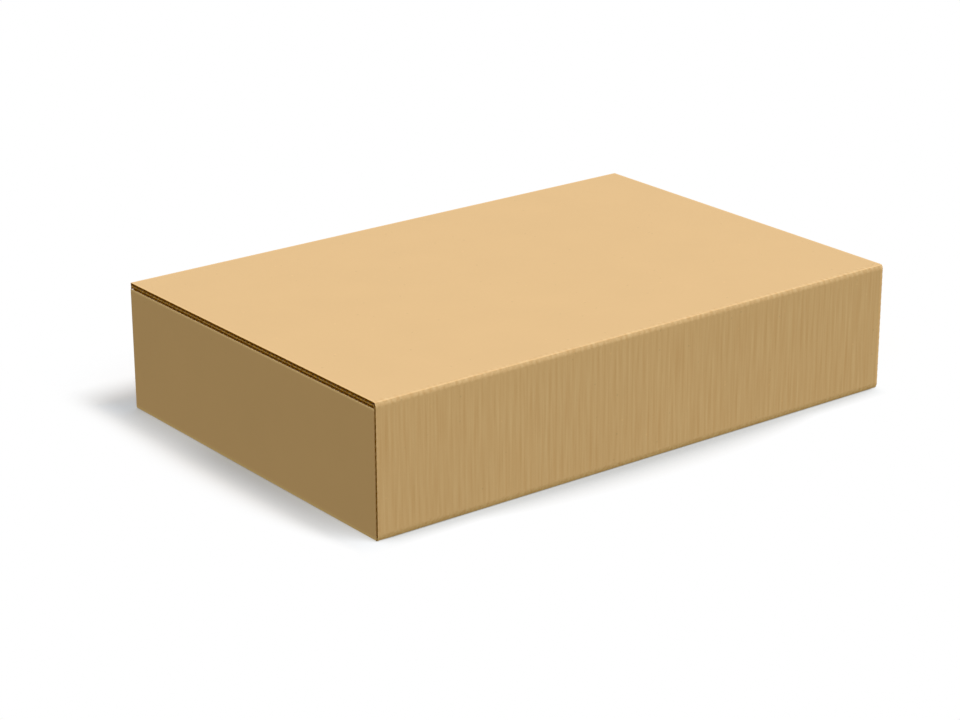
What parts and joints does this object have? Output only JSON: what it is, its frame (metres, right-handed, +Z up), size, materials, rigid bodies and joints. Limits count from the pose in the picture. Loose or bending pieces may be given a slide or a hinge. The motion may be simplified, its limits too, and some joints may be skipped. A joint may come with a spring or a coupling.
{
  "type": "closed cardboard box",
  "caption": "Closed flat shipping box folded from corrugated kraft board, with a full-overlap top whose cut edges show the flutes.",
  "frame": {"origin": "middle of the underside, on the surface that the box stands on", "axes": "+X along the length, +Y along the width away from the long wall that carries the outer top panel, +Z up"},
  "size_m": [0.3008, 0.2, 0.0635],
  "materials": {
    "kraft_board": "uncoated brown kraft liner, matte"
  },
  "bodies": {
    "root": {"folded_box": "kraft_board"}
  },
  "joints": []
}
